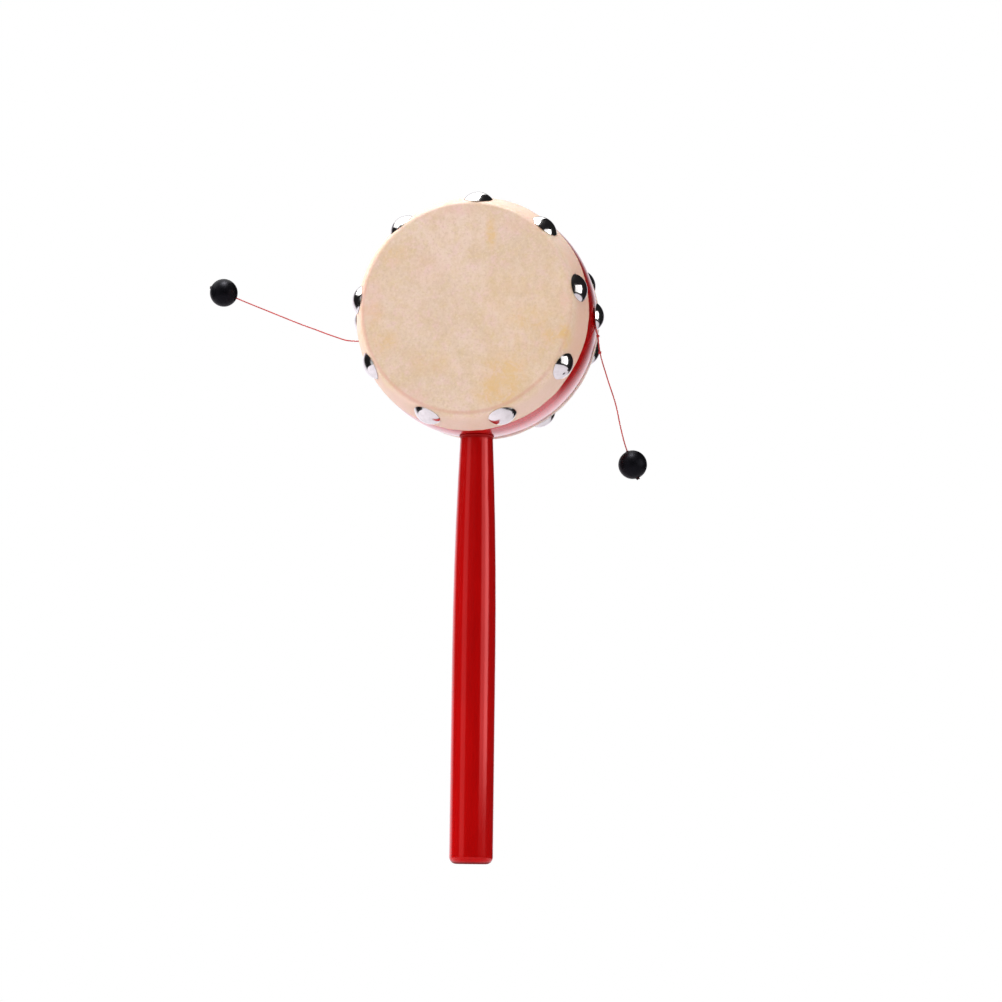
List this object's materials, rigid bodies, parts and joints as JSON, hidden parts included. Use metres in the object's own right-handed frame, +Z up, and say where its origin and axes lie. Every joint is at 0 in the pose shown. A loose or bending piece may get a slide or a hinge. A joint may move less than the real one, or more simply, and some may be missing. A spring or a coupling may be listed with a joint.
{
  "type": "pellet drum rattle",
  "caption": "Twirl drum on a long handle, with a hide head tacked over each rim of a barrel shell and a corded bead on each side that strikes the heads.",
  "frame": {"origin": "centre of the flat end of the handle", "axes": "+Z up along the handle towards the drum, -Y towards the front head, +X towards the bead that hangs"},
  "size_m": [0.1599, 0.0442, 0.233],
  "materials": {
    "red_lacquer": "glossy red lacquer over turned wood",
    "hide": "thin natural hide, translucent and mottled, dried taut",
    "nickel": "bright nickel plate",
    "black_bead": "satin black paint",
    "red_cord": "thin twisted thread"
  },
  "bodies": {
    "drum": {"shell": "red_lacquer", "front_head": "hide", "rear_head": "hide", "front_tacks": "nickel", "rear_tacks": "nickel", "handle": "red_lacquer", "right_cord_tack": "nickel", "right_cord_hitch": "red_cord", "left_cord_tack": "nickel", "left_cord_hitch": "red_cord"},
    "right_tie": {"right_tie_knot": "red_cord"},
    "right_inner_cord": {"right_loop_strands": "red_cord", "right_loop_knot": "red_cord", "right_cord_inner": "red_cord"},
    "right_outer_cord": {"right_cord_outer": "red_cord", "right_bead_knots": "red_cord"},
    "right_bead": {"right_bead": "black_bead"},
    "left_tie": {"left_tie_knot": "red_cord"},
    "left_inner_cord": {"left_cord_inner": "red_cord"},
    "left_outer_cord": {"left_cord_outer": "red_cord", "left_bead_knots": "red_cord"},
    "left_bead": {"left_bead": "black_bead"}
  },
  "joints": [
    {"name": "right_lift", "type": "hinge", "parent": "drum", "child": "right_tie", "pos_m": [0.0428, 0, 0.184], "axis": [0, -1, 0], "range_deg": [-15, 115]},
    {"name": "right_swing", "type": "hinge", "parent": "right_tie", "child": "right_inner_cord", "pos_m": [0.0428, 0, 0.184], "axis": [-0.9664, 0, -0.2571], "range_deg": [-90, 90]},
    {"name": "right_fold", "type": "hinge", "parent": "right_inner_cord", "child": "right_outer_cord", "pos_m": [0.049, 0, 0.1607], "axis": [-0.9664, 0, -0.2571], "range_deg": [-82, 82]},
    {"name": "right_spin", "type": "hinge", "parent": "right_outer_cord", "child": "right_bead", "pos_m": [0.0554, 0, 0.1384], "axis": [0.3793, 0, -0.9253], "continuous": true},
    {"name": "left_lift", "type": "hinge", "parent": "drum", "child": "left_tie", "pos_m": [-0.0428, 0, 0.184], "axis": [0, 1, 0], "range_deg": [-100, 25]},
    {"name": "left_swing", "type": "hinge", "parent": "left_tie", "child": "left_inner_cord", "pos_m": [-0.0428, 0, 0.184], "axis": [-0.2588, 0, -0.9659], "range_deg": [-90, 90]},
    {"name": "left_fold", "type": "hinge", "parent": "left_inner_cord", "child": "left_outer_cord", "pos_m": [-0.0666, 0, 0.1914], "axis": [-0.2588, 0, -0.9659], "range_deg": [-85, 85]},
    {"name": "left_spin", "type": "hinge", "parent": "left_outer_cord", "child": "left_bead", "pos_m": [-0.0936, 0, 0.2028], "axis": [-0.9162, 0, 0.4008], "continuous": true}
  ],
  "couplings": [
    {"joint": "right_fold", "follows": "right_swing", "ratio": 0.9},
    {"joint": "left_fold", "follows": "left_swing", "ratio": 0.94}
  ]
}
